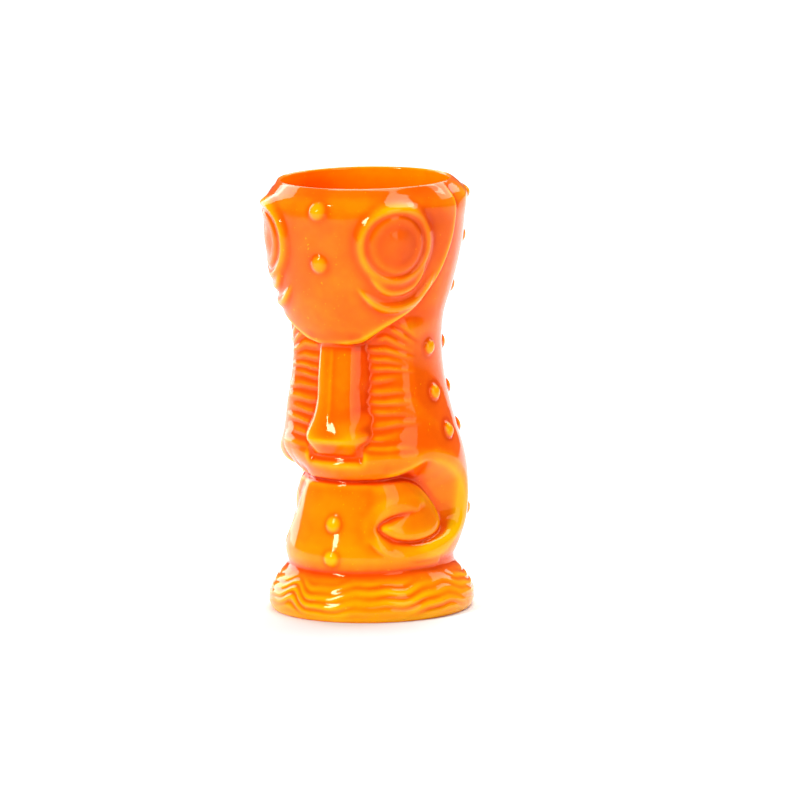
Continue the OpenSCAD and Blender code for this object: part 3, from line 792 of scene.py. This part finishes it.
def glaze_material():
    """Translucent orange glaze: thin and yellow on the ridges, pooled and red in the hollows,
    with painted shade on the eyes and nose sides and painted light inside the bowl, from the tone
    attribute.
    """
    m, tree, shader = new_material("orange_glaze")

    def math(kind, a, b):
        n = tree.nodes.new("ShaderNodeMath")
        n.operation = kind
        for i, v in enumerate((a, b)):
            if isinstance(v, (int, float)):
                n.inputs[i].default_value = v
            else:
                tree.links.new(v, n.inputs[i])
        return n.outputs[0]

    coords = tree.nodes.new("ShaderNodeTexCoord").outputs["Object"]
    cloud = noise(tree, coords, 55, 3)
    mottle = noise(tree, coords, 260, 4)
    tone_and_shade_node = tree.nodes.new("ShaderNodeAttribute")
    tone_and_shade_node.attribute_name = "tone_and_painted_shade"
    level = math("ADD", tone_and_shade_node.outputs["Fac"], 0.42)
    for pattern, amount in ((cloud, 0.30), (mottle, 0.10)):
        level = math("ADD", level, math("MULTIPLY", math("SUBTRACT", pattern, 0.5), amount))
    specks = math("MAXIMUM", math("SUBTRACT", noise(tree, coords, 1300, 1), 0.72), 0.0)
    level = math("ADD", level, math("MULTIPLY", specks, 4.0))
    colour = colour_ramp(tree, level, GLAZE_ENDS, GLAZE_BETWEEN)
    tree.links.new(colour, shader.inputs["Base Color"])
    put(shader, IOR=1.5, Specular_Tint=(1.0, 0.58, 0.34, 1))
    rough = math("ADD", math("MULTIPLY", cloud, 0.04), 0.03)
    tree.links.new(rough, shader.inputs["Roughness"])
    ripple = bump(tree, noise(tree, coords, 140, 2), 0.12, 0.0004)
    tree.links.new(ripple, shader.inputs["Normal"])
    return m


def clay_material():
    """Bare fired clay, pale and dry, with fine grit."""
    m, tree, shader = new_material("bare_clay")
    coords = tree.nodes.new("ShaderNodeTexCoord").outputs["Object"]
    grit = noise(tree, coords, 900, 6)
    colour = colour_ramp(tree, grit, ((0.52, 0.40, 0.27, 1), (0.80, 0.69, 0.54, 1)))
    tree.links.new(colour, shader.inputs["Base Color"])
    put(shader, Roughness=0.85)
    tree.links.new(bump(tree, grit, 0.5, 0.0002), shader.inputs["Normal"])
    return m


glaze = glaze_material()
clay = clay_material()


def build_mug():
    """Every glazed piece, each cut out of the sheet in turn, and the cup last."""
    points, faces = outer_sheet()
    points, faces, _ = cut(points, faces, points[:, 2] - SKIN_TOP)
    points, _, faces = cut(points, faces, points[:, 2] - FOOT_GAP)
    for name, member in MEMBERS:
        _, a = polar(points)
        points, faces, mine = cut(points, faces, sample(member, a, points[:, 2]))
        solid, triangles, normals = close(points, mine)
        piece = make_piece(name, solid, triangles, tone_and_shade_values(solid))
        piece.data.normals_split_custom_set_from_vertices(normals)
    # What is left of the sheet is the outside of the bowl, which the cup carries
    bowl, bowl_faces, bowl_normals = close(points, faces)
    a, rings = cup()
    cup_points, cup_faces = lathe(a, rings)
    both = np.vstack([bowl, cup_points])
    both_faces = np.vstack([bowl_faces, cup_faces + len(bowl)])
    tones = np.concatenate([tone_and_shade_values(bowl), cup_values(cup_points, len(a))])
    piece = make_piece("cup_wall", both, both_faces, tones)
    normals = np.empty(len(both) * 3, np.float32)
    piece.data.vertices.foreach_get("normal", normals)
    normals = normals.reshape(-1, 3)
    normals[:len(bowl)] = bowl_normals
    edge = len(bowl) + RIM_RING * len(a) + np.arange(len(a))
    normals[edge] = normals_at(both[edge])
    piece.data.normals_split_custom_set_from_vertices(normals)


build_mug()
foot_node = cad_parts["foot_ring"]
foot_node.data.materials.clear()
foot_node.data.materials.append(clay)


# ---- stage, light and camera ----
def stage():
    """A wide sheet of pale paper."""
    half = 3.0
    mesh = bpy.data.meshes.new("floor")
    mesh.from_pydata([(-half, -half, 0), (half, -half, 0), (half, half, 0), (-half, half, 0)],
                     [], [(0, 1, 2, 3)])
    paper, _, shader = new_material("paper")
    put(shader, Base_Color=(0.78, 0.78, 0.78, 1), Roughness=0.8)
    mesh.materials.append(paper)
    floor = bpy.data.objects.new("floor", mesh)
    bpy.context.scene.collection.objects.link(floor)


def soft_box(name, place, aim, size, power):
    """A rectangular lamp, all in metres and watts."""
    data = bpy.data.lights.new(name, "AREA")
    data.shape = "RECTANGLE"
    data.size, data.size_y = size
    data.energy = power
    lamp = bpy.data.objects.new(name, data)
    lamp.location = place
    bpy.context.scene.collection.objects.link(lamp)
    lamp.rotation_euler = (Vector(aim) - Vector(place)).to_track_quat("-Z", "Y").to_euler()


def studio():
    """A dim white room with five soft lamps. The one behind lights the paper up to white."""
    world = bpy.data.worlds.new("studio")
    world.use_nodes = True
    put(world.node_tree.nodes["Background"], Color=(1, 1, 1, 1), Strength=0.12)
    bpy.context.scene.world = world
    soft_box("overhead", (0, 0.6, 1.25), (0, 0.1, 0), (1.2, 1.0), 20)
    soft_box("strip", (-0.42, -0.96, 0.75), (0, 0, 0.08), (0.14, 0.7), 13)
    soft_box("side", (0.84, -0.45, 0.45), (0, 0, 0.08), (0.42, 0.9), 3.4)
    soft_box("left", (-0.95, 0.35, 0.45), (0, 0, 0.08), (0.5, 1.0), 6.0)
    soft_box("behind", (-0.6, 2.2, 1.5), (-0.6, 2.3, 0), (4.0, 2.4), 90)


def camera():
    """Where the mug is seen from: to the right of its face, a little above."""
    turn, lift, roll = radians(27), radians(9.3), radians(-0.9)
    distance, view_width, sensor = 2.7, 0.2867, 36
    centre = Vector((0, 0, 0.0744))
    back = Vector((sin(turn) * cos(lift), -cos(turn) * cos(lift), sin(lift)))
    right = Vector((cos(turn), sin(turn), 0))
    up = back.cross(right)
    data = bpy.data.cameras.new("camera")
    data.sensor_width = sensor
    data.lens = sensor * distance / view_width
    data.clip_end = 20
    cam = bpy.data.objects.new("camera", data)
    target = centre + right * 0.0113
    turned = Matrix((right, up, back)).transposed() @ Matrix.Rotation(roll, 3, "Z")
    cam.matrix_world = Matrix.Translation(target + back * distance) @ turned.to_4x4()
    bpy.context.scene.collection.objects.link(cam)
    bpy.context.scene.camera = cam


stage()
studio()
camera()
bpy.context.scene.view_settings.view_transform = "Standard"
